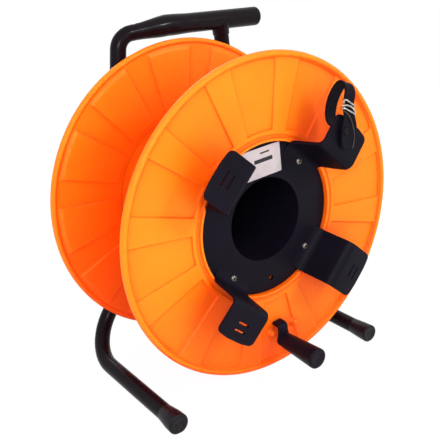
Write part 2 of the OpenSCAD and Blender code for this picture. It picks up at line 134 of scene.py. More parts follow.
def moulded_plastic(name, light, deep, gloss, grain_mm, grain, ior, shine=0.5, flow_mm=70):
    """Injection-moulded plastic: a fine spark-eroded grain, slow flow marks that shift the
    colour between two close tones, and handling that dulls the gloss in patches. The real
    grain is about 0.2 mm and is drawn coarser, at grain_mm, so that it shows."""
    handled_mm, relief_mm = 16, 0.05
    material, tree, at = finish_of(name)
    flow = add(tree, "ShaderNodeTexNoise", [(at, "Vector")],
               i_Scale=1 / (flow_mm * MM), i_Detail=3)
    tone = add(tree, "ShaderNodeValToRGB", [(flow.outputs[0], 0)],
               [(0.35, rgb(deep)), (0.65, rgb(light))])
    handling = add(tree, "ShaderNodeTexNoise", [(at, "Vector")],
                   i_Scale=1 / (handled_mm * MM), i_Detail=5)
    dull = add(tree, "ShaderNodeMapRange", [(handling.outputs[0], 0)],
               i_1=0.3, i_2=0.7, i_3=gloss - 0.04, i_4=gloss + 0.06)
    pits = add(tree, "ShaderNodeTexNoise", [(at, "Vector")],
               i_Scale=1 / (grain_mm * MM), i_Detail=2)
    relief = add(tree, "ShaderNodeBump", [(pits.outputs[0], "Height")],
                 i_Strength=grain, i_Distance=relief_mm * MM)
    body = add(tree, "ShaderNodeBsdfPrincipled",
               [(tone.outputs[0], "Base Color"), (dull.outputs[0], "Roughness"),
                (relief.outputs[0], "Normal")], i_IOR=ior, i_Specular_IOR_Level=shine)
    add(tree, "ShaderNodeOutputMaterial", [(body.outputs[0], "Surface")])
    return material


def let_light_in(material, weight, depth_mm, spread):
    """Polypropylene is a little translucent: light enters and comes out nearby, red furthest."""
    body = material.node_tree.nodes["Principled BSDF"]
    body.inputs["Subsurface Weight"].default_value = weight
    body.inputs["Subsurface Radius"].default_value = spread
    body.inputs["Subsurface Scale"].default_value = depth_mm * MM


def paint_shade_inside(material, deep, reach_mm, full, none):
    """Painted shade: where the surface is shut in, in a crease and between the flanges, its colour is
    mixed towards a redder, darker tone. full and none are how open a place is where all and none of that shows."""
    tree = material.node_tree
    body = tree.nodes["Principled BSDF"]
    tone = body.inputs["Base Color"].links[0].from_socket
    shade_occlusion = add(tree, "ShaderNodeAmbientOcclusion", samples=8, i_Distance=reach_mm * MM)
    share = add(tree, "ShaderNodeMapRange", [(shade_occlusion.outputs["AO"], 0)],
                i_1=full, i_2=none, i_3=1.0, i_4=0.0)
    mix = add(tree, "ShaderNodeMix", [(share.outputs[0], 0), (tone, 6)],
              data_type="RGBA", i_7=rgb(deep))
    tree.links.new(mix.outputs[2], body.inputs["Base Color"])


# Polypropylene, moulded, satin: two close oranges in slow flow marks
ORANGE = moulded_plastic("orange_polypropylene", "#FF8A14", "#FF8512", 0.42, 1.2, 0.12, 1.49, 0.18)
let_light_in(ORANGE, 0.35, 16, (1.0, 0.1, 0.02))
# Painted shade: redder and darker between the flanges, beside the hub and the arms, and in the creases of the
# panels
paint_shade_inside(ORANGE, "#FF5201", 260, 0.34, 0.76)
paint_shade_inside(ORANGE, "#FF5802", 75, 0.55, 0.94)
paint_shade_inside(ORANGE, "#C84C05", 4, 0.4, 0.76)
# Glass-filled nylon, moulded, satin black with a faint blue cast
NYLON = moulded_plastic("black_nylon", "#120E1A", "#0E0B15", 0.5, 0.9, 0.22, 1.53, 0.07)
# Polyethylene grip, waxy black, a shade warmer than the hub
GRIP = moulded_plastic("black_polyethylene", "#170E1B", "#120C16", 0.42, 1.0, 0.22, 1.51, 0.1)
# Natural rubber strap, matt, with the bloom of stored rubber in the slow tone
STRAP_RUBBER = moulded_plastic("strap_rubber", "#13101A", "#0E0C14", 0.55, 0.8, 0.3, 1.52, 0.07, 24)
# The same rubber, paler and drier: a painted highlight along the tab's edge, where the light catches it
EDGE_HIGHLIGHT_RUBBER = moulded_plastic("edge_highlight_rubber", "#4E433F", "#3A3230", 0.6, 0.8, 0.3, 1.52, 0.2, 8)
# PVC foot caps, dipped, dull gloss
CAP_RUBBER = moulded_plastic("cap_rubber", "#150E16", "#110B12", 0.38, 1.1, 0.22, 1.53, 0.18)
# Black oxide on the axle's nut: oiled, nearly no shine
OXIDE = moulded_plastic("black_oxide_steel", "#0F0E11", "#0A090B", 0.45, 0.8, 0.2, 1.5, 0.2)
# Printing ink, flat and nearly black
INK = moulded_plastic("label_ink", "#26232A", "#201D24", 0.5, 0.5, 0.05, 1.5, 0.3)


def coated_tube(name, colour, rubbed, gloss, peel_mm, peel, coat):
    """Baked powder coat or sleeve on steel tube: dark gloss with a faint orange-peel ripple,
    and rub marks that dull it here and there."""
    rub_mm, relief_mm = 14, 0.06
    material, tree, at = finish_of(name)
    ripple = add(tree, "ShaderNodeTexNoise", [(at, "Vector")],
                 i_Scale=1 / (peel_mm * MM), i_Detail=1)
    relief = add(tree, "ShaderNodeBump", [(ripple.outputs[0], "Height")],
                 i_Strength=peel, i_Distance=relief_mm * MM)
    rubs = add(tree, "ShaderNodeTexNoise", [(at, "Vector")],
               i_Scale=1 / (rub_mm * MM), i_Detail=6)
    dull = add(tree, "ShaderNodeMapRange", [(rubs.outputs[0], 0)],
               i_1=0.4, i_2=0.75, i_3=gloss, i_4=gloss + 0.12)
    tone = add(tree, "ShaderNodeValToRGB", [(rubs.outputs[0], 0)],
               [(0.3, rgb(colour)), (0.75, rgb(rubbed))])
    body = add(tree, "ShaderNodeBsdfPrincipled",
               [(tone.outputs[0], "Base Color"), (dull.outputs[0], "Roughness"),
                (relief.outputs[0], "Normal")], i_IOR=1.5, i_Specular_IOR_Level=0.05,
               i_Coat_Weight=coat, i_Coat_Roughness=0.16, i_Coat_IOR=1.4)
    add(tree, "ShaderNodeOutputMaterial", [(body.outputs[0], "Surface")])
    return material


# Polyester powder on steel tube
POWDER = coated_tube("black_powder_coat", "#130B12", "#130E13", 0.26, 3.0, 0.12, 0.1)
# Dipped PVC sleeve of the handle, glossier and smoother
SLEEVE = coated_tube("handle_sleeve", "#120B10", "#130E13", 0.26, 5.0, 0.1, 0.19)


def plated_steel(name, bright, spots, gloss):
    """Zinc or nickel plate on steel: a bright skin with fine drawn marks and dull spots. The
    real marks are hair-fine and are drawn coarser, so that they show."""
    mark_mm = 1.2
    material, tree, at = finish_of(name)
    marks = add(tree, "ShaderNodeTexNoise", [(at, "Vector")],
                i_Scale=1 / (mark_mm * MM), i_Detail=3)
    dull = add(tree, "ShaderNodeMapRange", [(marks.outputs[0], 0)],
               i_1=0.3, i_2=0.7, i_3=gloss - 0.06, i_4=gloss + 0.1)
    tone = add(tree, "ShaderNodeValToRGB", [(marks.outputs[0], 0)],
               [(0.3, rgb(spots)), (0.6, rgb(bright))])
    body = add(tree, "ShaderNodeBsdfPrincipled",
               [(tone.outputs[0], "Base Color"), (dull.outputs[0], "Roughness")], i_Metallic=1.0)
    add(tree, "ShaderNodeOutputMaterial", [(body.outputs[0], "Surface")])
    return material


# Zinc on the screws and the turned steel parts: greyish, dull gloss
ZINC = plated_steel("zinc_plated_steel", "#A39A92", "#6E6660", 0.42)
# Nickel on the buckle's wire: brighter and smoother
NICKEL = plated_steel("nickel_plated_wire", "#E2DAD4", "#6E6660", 0.3)


def printed_film(name, white, grey):
    """Polyester label film: smooth, white, a little uneven where the glue lies under it."""
    glue_mm, relief_mm = 9, 0.1
    material, tree, at = finish_of(name)
    glue = add(tree, "ShaderNodeTexNoise", [(at, "Vector")],
               i_Scale=1 / (glue_mm * MM), i_Detail=2)
    relief = add(tree, "ShaderNodeBump", [(glue.outputs[0], "Height")],
                 i_Strength=0.1, i_Distance=relief_mm * MM)
    tone = add(tree, "ShaderNodeValToRGB", [(glue.outputs[0], 0)],
               [(0.3, rgb(grey)), (0.7, rgb(white))])
    body = add(tree, "ShaderNodeBsdfPrincipled",
               [(tone.outputs[0], "Base Color"), (relief.outputs[0], "Normal")],
               i_Roughness=0.34, i_IOR=1.5)
    add(tree, "ShaderNodeOutputMaterial", [(body.outputs[0], "Surface")])
    return material


# Polyester film: white, silky, faintly mottled
FILM = printed_film("label_film", "#C2B6B8", "#B8ADAF")


# ---------------------------------------------------------------- shapes that the pieces share
def piece(name, points, faces, finish, body, slot, stands_for=(), crease=35):
    """A mesh piece from points in metres; faces get smooth shading up to the crease angle."""
    mesh = bpy.data.meshes.new(name)
    mesh.from_pydata([tuple(p) for p in points], [], faces)
    bm = bmesh.new()
    bm.from_mesh(mesh)
    bmesh.ops.remove_doubles(bm, verts=bm.verts, dist=1e-6)
    bmesh.ops.recalc_face_normals(bm, faces=bm.faces)
    bm.to_mesh(mesh)
    bm.free()
    mesh.shade_smooth()
    mesh.set_sharp_from_angle(angle=math.radians(crease))
    mesh.materials.append(finish)
    thing = bpy.data.objects.new(name, mesh)
    scene.collection.objects.link(thing)
    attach(thing, body)
    if stands_for:
        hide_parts(*stands_for)
    return thing


def skin(rings, n, closed=False, capped=False):
    """Faces between rings of n points each that follow one another; closed joins the last
    ring to the first, and capped fills both ends."""
    faces = []
    for i in range(rings if closed else rings - 1):
        j = (i + 1) % rings
        for k in range(n):
            m = (k + 1) % n
            faces.append((i * n + k, i * n + m, j * n + m, j * n + k))
    if capped:
        faces += [tuple(range(n)), tuple(range((rings - 1) * n, rings * n))]
    return faces


def join(points, faces, more_points, more_faces):
    """Adds a second shape to the points and faces of a first."""
    base = len(points)
    points += more_points
    faces += [tuple(base + i for i in face) for face in more_faces]


def smooth_step(x, low, high):
    """0 at low, 1 at high, with a soft start and end between them."""
    t = min(max((x - low) / (high - low), 0), 1)
    return t * t * (3 - 2 * t)


def spline(values, t):
    """Smooth curve through a list of equal-length tuples, t from 0 to its last index."""
    i = min(int(t), len(values) - 2)
    f = t - i
    near = [values[min(max(i + k, 0), len(values) - 1)] for k in (-1, 0, 1, 2)]
    return [0.5 * (2 * b + (c - a) * f + (2 * a - 5 * b + 4 * c - d) * f * f
                   + (3 * b - a - 3 * c + d) * f ** 3) for a, b, c, d in zip(*near)]


def arc(middle, start, end, turn, steps):
    """Points round middle from start to end, which are given from the middle."""
    return [middle + (start * math.sin((1 - k / steps) * turn) + end * math.sin(k / steps * turn))
            / math.sin(turn) for k in range(steps + 1)]


def soft_corners(points, radii, closed=True, steps=5):
    """A polygon or open line with each corner rounded to its own radius."""
    line = []
    n = len(points)
    for i, (p, r) in enumerate(zip(points, radii)):
        p = Vector(p)
        if r <= 0 or (not closed and i in (0, n - 1)):
            line.append(p)
            continue
        before, after = Vector(points[i - 1]) - p, Vector(points[(i + 1) % n]) - p
        half = before.angle(after) / 2
        cut = min(r / math.tan(half), 0.48 * before.length, 0.48 * after.length)
        r = cut * math.tan(half)
        to_middle = (before.normalized() + after.normalized()).normalized()
        middle = p + to_middle * (r / math.sin(half))
        start = p + before.normalized() * cut - middle
        end = p + after.normalized() * cut - middle
        line += arc(middle, start, end, start.angle(end), steps)
    return line


def turned(profile, place, segments):
    """Points and faces of a lathe shape: profile of (r, along), and place(r, angle, along)."""
    points = [place(r, 360 * k / segments, along) for r, along in profile for k in range(segments)]
    return points, skin(len(profile), segments)


def around(origin, axis, across):
    """Placing function for a lathe shape on any axis, in metres, from r and along in mm."""
    axis = axis.normalized()
    across = (across - axis * across.dot(axis)).normalized()
    third = axis.cross(across)

    def place(r, angle, along):
        a = math.radians(angle)
        sideways = across * math.cos(a) + third * math.sin(a)
        return origin + axis * (along * MM) + sideways * (r * MM)
    return place


def route(points, bends, spacing):
    """Middle line of a bent tube: straight runs cut into even lengths, and true arcs."""
    step_degrees = 6
    points = [Vector(p) for p in points]
    line = [points[0]]

    def run_to(end):
        start = line[-1]
        count = max(1, round((end - start).length / spacing))
        line.extend(start.lerp(end, k / count) for k in range(1, count + 1))

    for before, corner, after, r in zip(points, points[1:], points[2:], bends):
        back, on = (before - corner).normalized(), (after - corner).normalized()
        turn = math.pi - back.angle(on)
        cut = r * math.tan(turn / 2)
        middle = corner + (back + on).normalized() * (r / math.cos(turn / 2))
        start, end = corner + back * cut - middle, corner + on * cut - middle
        run_to(start + middle)
        line += arc(middle, start, end, turn, max(3, round(math.degrees(turn) / step_degrees)))[1:]
    run_to(points[-1])
    return line


def drawn_tube(line, radius_at, segments, closed=False):
    """Tube along a line; radius_at gives its radius from the distance run, ends closed."""
    count = len(line)
    if closed:
        headings = [(line[(i + 1) % count] - line[i - 1]).normalized() for i in range(count)]
    else:
        headings = [(line[min(i + 1, count - 1)] - line[max(i - 1, 0)]).normalized()
                    for i in range(count)]
    side = headings[0].orthogonal().normalized()
    points, run = [], 0.0
    for i, (p, heading) in enumerate(zip(line, headings)):
        run += (p - line[i - 1]).length if i else 0
        side = (side - heading * side.dot(heading)).normalized()
        other = heading.cross(side)
        for k in range(segments):
            a = 2 * math.pi * k / segments
            points.append(p + (side * math.cos(a) + other * math.sin(a)) * radius_at(run))
    return points, skin(count, segments, closed, not closed)


def ring_loop(r, count, x=0.0, y=0.0):
    """A circle in 2D."""
    turns = [2 * math.pi * k / count for k in range(count)]
    return [Vector((x + r * math.cos(a), y + r * math.sin(a))) for a in turns]


def inset(loop, distance):
    """A closed 2D loop moved by a distance along its own normals."""
    moved = []
    n = len(loop)
    for i, p in enumerate(loop):
        before, after = (p - loop[i - 1]).normalized(), (loop[(i + 1) % n] - p).normalized()
        normal = Vector((-before.y - after.y, before.x + after.x))
        normal.normalize()
        stretch = 1 / max(0.5, math.sqrt((1 + before.dot(after)) / 2))
        moved.append(p + normal * distance * stretch)
    return moved


def signed_area(loop):
    """Area of a 2D loop, positive if it runs anticlockwise."""
    return sum(a.x * b.y - b.x * a.y for a, b in zip(loop, loop[1:] + loop[:1])) / 2


def flat_blank(outline, holes, thickness, edge_r, steps=4):
    """Blank with rounded edges, cut from sheet or moulded flat: 2D points and heights. Holes
    are only broken at their edges."""
    hole_share = 0.12
    loops = [outline if signed_area(outline) > 0 else outline[::-1]]
    loops += [h if signed_area(h) < 0 else h[::-1] for h in holes]
    levels = []
    for k in range(steps + 1):
        a = math.pi / 2 * k / steps
        levels.append((edge_r * (1 - math.sin(a)), -thickness / 2 + edge_r * (1 - math.cos(a))))
    levels += [(d, -h) for d, h in reversed(levels)]
    points, faces, caps = [], [], ([], [])
    for loop in loops:
        n, base, end = len(loop), len(points), len(points) + len(levels) * len(loop)
        share = 1 if loop is loops[0] else hole_share
        edge = [(p.x, p.y, h) for d, h in levels for p in inset(loop, d * share)]
        join(points, faces, edge, skin(len(levels), n))
        caps[0].append(list(range(base, base + n)))
        caps[1].append(list(range(end - n, end)))
    for cap in caps:
        index = [i for loop in cap for i in loop]
        spans = [[Vector((points[i][0], points[i][1], 0)) for i in loop] for loop in cap]
        faces += [tuple(index[i] for i in tri) for tri in tessellate_polygon(spans)]
    return points, faces


def bent_blank(points, faces, cuts, bend):
    """Slices a flat blank across its length at the cuts, then bends each point by a function."""
    bm = bmesh.new()
    verts = [bm.verts.new(p) for p in points]
    for face in faces:
        if len(set(face)) > 2:
            try:
                bm.faces.new([verts[i] for i in face])
            except ValueError:
                # The same three points twice: one face is enough
                pass
    for u in cuts:
        bmesh.ops.bisect_plane(bm, geom=bm.verts[:] + bm.edges[:] + bm.faces[:], dist=1e-5,
                               plane_co=(u, 0, 0), plane_no=(1, 0, 0))
    bm.verts.index_update()
    moved = [bend(*v.co) for v in bm.verts]
    kept = [tuple(v.index for v in f.verts) for f in bm.faces]
    bm.free()
    return moved, kept


# ---------------------------------------------------------------- flanges
# Fan panels: pitch and half width in degrees, sink, where they start and end from the axle,
# and how far their outer end slopes on the flange's front and on its back
PANEL_PITCH, PANEL_HALF = 30, 9.5
PANEL_SINK, PANEL_IN, PANEL_OUT = 2.0, 104.0, 182.3
SLOPE_FRONT, SLOPE_BACK = 1.3, 5.5
# Rolled rim bead: half its width, and the degrees that it is rolled through
BEAD_WIDE = 3.7
BEAD_FROM, BEAD_TO, BEAD_STEPS = 165, -140, 21
# Depths of the web's two faces
WEB_FRONT, WEB_BACK = -1.0, 3.0
# Lip round the hub, cut down under the arms' roots
SEAT_R, LIP_OUT = 91.5, 94.5
LIP_CUT, LIP_FLOOR = 1.8, -0.7
LIP_CUT_FULL, LIP_CUT_END = 17.5, 19
# Columns of one sector: close together where a panel's edge turns down
HALF_COLUMNS = (3.2, 6.4, 8.2, 8.8, 9.15, 9.26, 9.38, 9.5, 9.62, 9.74, 9.85, 10.1, 10.7, 12.2, 13.6)
COLUMNS = sorted([0.0] + list(HALF_COLUMNS) + [-c for c in HALF_COLUMNS] + [15.0])


def flange_rows(inner):
    """Section of a flange from its front inner edge over the rim bead to its back inner edge:
    radius, depth, share of the panel's sink, share of the lip's notch."""
    rows = list(inner)
    rows += [(SEAT_R, -1.9, 0, 1), (91.65, -2.25, 0, 1), (92.1, -2.5, 0, 1), (93.9, -2.5, 0, 1),
             (94.35, -2.25, 0, 1), (LIP_OUT, -1.9, 0, 1), (94.6, -0.6, 0, 0), (94.9, 0.0, 0, 0),
             (95.6, 0.2, 0, 0), (97.9, 0.2, 0, 0), (98.6, 0.0, 0, 0), (98.9, -0.6, 0, 0),
             (99.2, -0.92, 0, 0), (99.8, WEB_FRONT, 0, 0), (101.6, WEB_FRONT, 0, 0)]
    front = (102.8, 103.3, 103.5, 103.7, 103.9, 104.1, 104.3, 104.5, 104.8, 105.6, 112, 122, 134,
             146, 158, 168, 175, 179, 180.8, 181.1, 181.3, 181.5, 181.7, 181.9, 182.1, 182.4)
    rows += [(r, WEB_FRONT, 1, 0) for r in front]
    for k in range(BEAD_STEPS + 1):
        a = math.radians(BEAD_FROM - k * (BEAD_FROM - BEAD_TO) / BEAD_STEPS)
        rows.append((RIM_R - BEAD_WIDE + BEAD_WIDE * math.cos(a), -BEAD_R * math.sin(a), 0, 0))
    back = (182.6, 182.2, 181.7, 181.1, 180.4, 179.6, 178.7, 177.7, 176.6, 172, 160, 146, 132,
            118, 107, 105.8, 105.2, 104.7, 104.2, 103.7, 103.2, 102.6, 101)
    rows += [(r, WEB_BACK, 1, 0) for r in back]
    return rows


def panel_share(r, angle, slope):
    """1 on the floor of a sunk panel, 0 outside it, with soft edges."""
    off = abs((angle + PANEL_PITCH / 2) % PANEL_PITCH - PANEL_PITCH / 2)
    across = 1 - smooth_step(off, PANEL_HALF - 0.35, PANEL_HALF + 0.35)
    inside = smooth_step(r, PANEL_IN - 0.5, PANEL_IN + 0.6)
    return across * inside * (1 - smooth_step(r, PANEL_OUT - slope, PANEL_OUT))


def arm_share(angle):
    """1 under a bracket arm's root, 0 away from it."""
    return 1 - smooth_step(abs(angle % 90 - 45), LIP_CUT_FULL, LIP_CUT_END)


def moulded_flange(name, node, rows, depth_of, lip_is_cut):
    """Flange in one moulding: its section is carried round and sunk at the fan panels."""
    angles = [i * PANEL_PITCH + c for i in range(360 // PANEL_PITCH) for c in COLUMNS]
    points = []
    for angle in angles:
        for r, depth, sink, notch in rows:
            if sink:
                slope = SLOPE_FRONT if depth < 0 else SLOPE_BACK
                depth += PANEL_SINK * panel_share(r, angle, slope)
            if notch and lip_is_cut:
                depth += min(LIP_CUT, LIP_FLOOR - depth) * arm_share(angle)
            points.append(on_drum(r, angle, depth_of(depth)))
    return piece(name, points, skin(len(angles), len(rows), closed=True), ORANGE, "drum",
                 "orange_plastic", [node], crease=50)


front_inner = [(67.6, 10.9, 0, 0), (67.0, 10.3, 0, 0), (67.0, 6.9, 0, 0), (90.9, 6.9, 0, 0),
               (SEAT_R, 6.3, 0, 0)]
front_back = [(98, WEB_BACK, 0, 0), (93.7, WEB_BACK, 0, 0), (93.7, 10.9, 0, 0)]
moulded_flange("front_flange_moulding", "front_flange",
               flange_rows(front_inner) + front_back, lambda depth: depth, True)

# The rear flange faces the other way; its boss ring and ribs show at the back of the reel
rear_inner = [(22.3, WEB_BACK, 0, 0), (22.3, -0.6, 0, 0), (22.7, WEB_FRONT, 0, 0),
              (30, WEB_FRONT, 0, 0), (31, -1.3, 0, 0), (32, -2.2, 0, 0), (34, -2.4, 0, 0),
              (36, -2.2, 0, 0), (37, -1.3, 0, 0), (38, WEB_FRONT, 0, 0), (60, WEB_FRONT, 0, 0),
              (90.8, WEB_FRONT, 0, 0)]
rear_back = [(98, WEB_BACK, 0, 0), (93.7, WEB_BACK, 0, 0), (93.6, 7.9, 0, 0), (90.8, 7.9, 0, 0),
             (90.7, WEB_BACK, 0, 0), (50, WEB_BACK, 0, 0)]
moulded_flange("rear_flange_moulding", "rear_flange",
               flange_rows(rear_inner) + rear_back, lambda depth: DRUM_W - depth, False)


def panel_boss(name, x, z):
    """Small moulded boss beside the crank, domed, on the flange's face."""
    profile = [(0.001, -4.4), (1.2, -4.3), (2.3, -3.9), (3.2, -3.2), (3.8, -2.2), (4.3, -1.0),
               (5.4, -0.2), (6.6, 1.4)]
    place = around(from_axle(x, z, 0), Vector((0, 1, 0)), Vector((1, 0, 0)))
    piece(name, *turned(profile, place, 28), ORANGE, "drum", "orange_plastic", crease=60)


panel_boss("crank_boss_left", 4.6, -147.6)
panel_boss("crank_boss_right", 39.4, -144.2)

# ---------------------------------------------------------------- hub
# The plate, its pocket and its one spare screw hole, and the circle that the screws stand on
HUB_R, HUB_T, HUB_MIDDLE = 91.0, 4.0, 4.9
POCKET_R = 49.5
SPARE_R, SPARE_AT, SPARE_ANGLE = 3.0, 76, -90
SCREWS_AT, SCREW_SEAT, SCREW_R, SCREW_RISE = 77.0, 2.3, 4.0, 2.2
# The label: inner and outer edge, its two sides, its film and how deep that lies; its bars as
# middle, low end, high end and half width, and the depths that their ink stands between
LABEL_IN, LABEL_OUT, LABEL_LEFT, LABEL_RIGHT = 51.5, 86, -29, 28.5
LABEL_T, LABEL_MIDDLE = 0.24, 2.78
LABEL_BARS = ((79.5, 0, 13, 0.9), (71, -9, 17, 2.3))
INK_DEPTHS = (2.64, 2.70)


def hub_front_plate():
    """Front plate of the hub: a flat ring with softly rounded edges and one spare hole."""
    a = math.radians(SPARE_ANGLE)
    holes = [ring_loop(POCKET_R, 120),
             ring_loop(SPARE_R, 24, SPARE_AT * math.cos(a), SPARE_AT * math.sin(a))]
    points, faces = flat_blank(ring_loop(HUB_R, 160), holes, HUB_T, 0.9)
    moved = [on_drum(math.hypot(x, y), math.degrees(math.atan2(y, x)), HUB_MIDDLE + h)
             for x, y, h in points]
    piece("hub_front_plate", moved, faces, NYLON, "drum", "black_plastic", ["hub_plate"], crease=40)


hub_front_plate()

# ---------------------------------------------------------------- bracket arms
ARM_T, ARM_W = 4.0, 57.0
# Middle line of an arm in the plane through the axle: its start as radius and depth, then for
# each part a straight run, a bend radius and the degrees that it turns
ARM_START = (66.0, 0.9)
ARM_MOVES = ((14.0, 9.0, -80.0), (32.0, 8.0, 84.0), (35.0, 0.0, 0.0))
ARM_LENGTH = sum(run + r * math.radians(abs(turn)) for run, r, turn in ARM_MOVES)
# Where its two bends start on the flat strip, and how long they are
ARM_BENDS = ((14, 12.57), (58.57, 11.73))
# Strap slots from the arm's end, and their half length and half width
SLOTS_AT, SLOT_HALF, SLOT_WIDE = (12, 21), 8.5, 1.05
# Degrees that each arm has sprung: its post further upright, and its plate round the axle
ARM_SPRING = {45: (1.5, -1.0), 135: (4.5, -1.5), 225: (2.0, 0.6), 315: (0.0, 0.0)}


def along_arm(u, angle=45):
    """Place and heading on an arm's middle line, u mm from its inner end."""
    x, y = ARM_START
    heading = 0.0
    lean = ARM_SPRING[angle][0]
    for (run, r, turn), more in zip(ARM_MOVES, (-lean, lean, 0.0)):
        turn += more
        step = min(u, run)
        x += step * math.cos(heading)
        y += step * math.sin(heading)
        u -= step
        if u <= 0:
            break
        sign = 1 if turn > 0 else -1
        swept = min(u / r, math.radians(abs(turn))) if r else 0
        after = heading + sign * swept
        x += sign * r * (math.sin(after) - math.sin(heading))
        y += sign * r * (math.cos(heading) - math.cos(after))
        u -= swept * r
        heading = after
        if u <= 1e-9:
            break
    return x, y, heading


def slot_loop(u, half_length, half_width, count=8):
    """A slot across the strip at u, with round ends."""
    loop = []
    for s in (1, -1):
        for k in range(count + 1):
            a = math.pi * k / count
            loop.append(Vector((u + s * half_width * math.cos(a),
                                s * (half_length - half_width + half_width * math.sin(a)))))
    return loop


def bracket_arm(name, angle):
    """Arm from a flat pattern: slots and rounded edges first, then the two bends. Its root
    thins out so that it flows into the hub's plate."""
    half = ARM_W / 2
    one_side = [(0, -half + 8), (15, -half), (ARM_LENGTH - 2.5, -half), (ARM_LENGTH, -0.4 * half)]
    other_side = [(u, -v) for u, v in reversed(one_side)]
    outline = soft_corners(one_side + other_side, [2, 12, 7, 24, 24, 7, 12, 2], steps=8)
    slots = [slot_loop(ARM_LENGTH - at, SLOT_HALF, SLOT_WIDE) for at in SLOTS_AT]
    points, faces = flat_blank(outline, slots, ARM_T, 0.8)
    (bend_1, arc_1), (bend_2, arc_2) = ARM_BENDS
    cuts = [1.5 * k for k in range(1, 10)] + [bend_1 + k * arc_1 / 14 for k in range(15)]
    cuts += [34, 42, 50] + [bend_2 + k * arc_2 / 14 for k in range(15)] + [76, 90]

    def bend(u, v, h):
        x, y, heading = along_arm(min(u, ARM_LENGTH - 1e-6) if u > 0 else 0.0, angle)
        extra = u - min(max(u, 0.0), ARM_LENGTH)
        h = ARM_T / 2 - (ARM_T / 2 - h) * (0.02 + 0.98 * smooth_step(u, 8, 24))
        x += extra * math.cos(heading) - h * math.sin(heading)
        y += extra * math.sin(heading) + h * math.cos(heading)
        return on_drum(x, angle + ARM_SPRING[angle][1] * smooth_step(u, 14, 45), y, -v)

    moved, kept = bent_blank(points, faces, cuts, bend)
    piece("bracket_arm_" + name, moved, kept, NYLON, "drum", "black_plastic",
          ["arm_" + name], crease=40)


for arm_name, arm_angle in ARM_ANGLES.items():
    bracket_arm(arm_name, arm_angle)


def pan_head_screw(name, origin, outward, r, rise):
    """Pan-head screw with a cross recess: a domed head whose middle is pressed in."""
    segments, rings = 48, 14
    cross_half, cross_long, cross_core, skirt = 0.15, 0.66, 0.34, 0.8
    place = around(origin, outward, Vector((0.3, 0.1, 1.0)))
    points = []
    for i in range(rings + 1):
        share = i / rings
        for k in range(segments):
            a = 2 * math.pi * k / segments
            x, y = share * math.cos(a), share * math.sin(a)
            height = rise * math.sqrt(max(0.0, 1 - share ** 4))
            in_cross = min(abs(x), abs(y)) < cross_half and max(abs(x), abs(y)) < cross_long
            if in_cross or share < cross_core:
                height -= 0.95 * rise
            points.append(place(r * share + 1e-4, 360 * k / segments, height))
    points += [place(r, 360 * k / segments, -skirt) for k in range(segments)]
    piece(name, points, skin(rings + 2, segments), ZINC, "drum", "steel", crease=45)


for arm_name, arm_angle in ARM_ANGLES.items():
    pan_head_screw("arm_screw_" + arm_name, on_drum(SCREWS_AT, arm_angle, SCREW_SEAT),
                   Vector((0, -1, 0)), SCREW_R, SCREW_RISE)


def hub_label():
    """Bare white label on the hub's plate, with two plain bars."""
    corners = [(LABEL_IN, LABEL_LEFT), (LABEL_OUT, LABEL_LEFT), (LABEL_OUT, LABEL_RIGHT),
               (LABEL_IN, LABEL_RIGHT)]
    points, faces = flat_blank(soft_corners(corners, [1.2] * 4, steps=4), [], LABEL_T, 0.06, 2)
    moved = [on_drum(x, 90, LABEL_MIDDLE + h, -y) for x, y, h in points]
    piece("hub_label", moved, faces, FILM, "drum", "black_plastic", crease=40)
    bars, sides = [], []
    for x, low, high, half in LABEL_BARS:
        corners = [(x - half, low), (x + half, low), (x + half, high), (x - half, high)]
        join(bars, sides, [on_drum(r, 90, depth, -y) for depth in INK_DEPTHS for r, y in corners],
             skin(2, 4, capped=True))
    piece("label_ruled_lines", bars, sides, INK, "drum", "black_plastic")


hub_label()

# ---------------------------------------------------------------- strap
# Stations of the strap's middle line from behind the arm's plate, up, over and down in front:
# x, z and depth in mm, the angle its width lies at, and its width
STRAP = (
    (78.5, 96.0, -40.0, -39, 15), (78.3, 97.0, -33.0, -38, 15), (77.8, 98.5, -27.5, -34, 15),
    (77.2, 101.5, -23.3, -30, 15), (76.6, 106.0, -20.8, -27, 15), (76.2, 111.5, -20.0, -25, 15),
    (76.0, 118.0, -20.4, -24, 15), (76.0, 125.0, -21.8, -24, 15), (76.0, 131.5, -24.0, -24, 15),
    (76.0, 138.0, -27.3, -24, 15), (76.0, 144.0, -31.2, -23, 15), (76.0, 148.6, -35.4, -22, 15),
    (76.0, 151.2, -40.0, -22, 15), (76.0, 150.4, -44.6, -22, 15), (76.0, 146.6, -47.9, -22, 15),
    (76.0, 141.0, -49.0, -23, 15), (76.0, 134.0, -48.2, -24, 15), (75.8, 127.0, -47.4, -25, 15),
    (75.4, 120.5, -48.4, -25, 15.5), (75.0, 114.0, -50.2, -22, 18), (74.4, 107.0, -51.2, -18, 21),
    (74.0, 99.0, -51.3, -16, 22.5), (73.8, 91.0, -51.0, -15, 22.5), (73.8, 85.5, -50.8, -15, 20),
    (73.8, 82.0, -50.7, -15, 15), (73.8, 80.4, -50.7, -15, 9))
# Its thickness, and how far the rib along each edge stands out
STRAP_T, STRAP_RIB = 2.0, 0.35
# The stub between the slots: width, thickness and rib, and its middle line on the arm, as mm
# from the arm's end and mm off the middle of the arm's thickness
STUB = (14.6, 1.8, 0.1)
WEAVE = ((32, 3.3), (24, 3.3), (21.4, 2.6), (21, 0), (20.6, -2.4), (18, -3.2), (15, -3.2),
         (12.4, -2.4), (12, 0), (12, 8))
# Place of the buckle's middle across and in depth, and its lean in degrees
BUCKLE_X, BUCKLE_DEPTH, BUCKLE_LEAN = 75.8, -48, -33


def strap_section(width, thickness, rib):
    """Strap section: flat, with a rounded rib along both edges."""
    half_w, half_t = width / 2, thickness / 2
    outer, inner = half_t + rib, half_w - 1.8
    side = [(inner - 0.8, -half_t), (inner, -outer), (half_w, -outer), (half_w, outer),
            (inner, outer), (inner - 0.8, half_t)]
    other = [(-x, -y) for x, y in side]
    return soft_corners(side + other, [0.3, 0.4, 0.8, 0.8, 0.4, 0.3] * 2, steps=3)


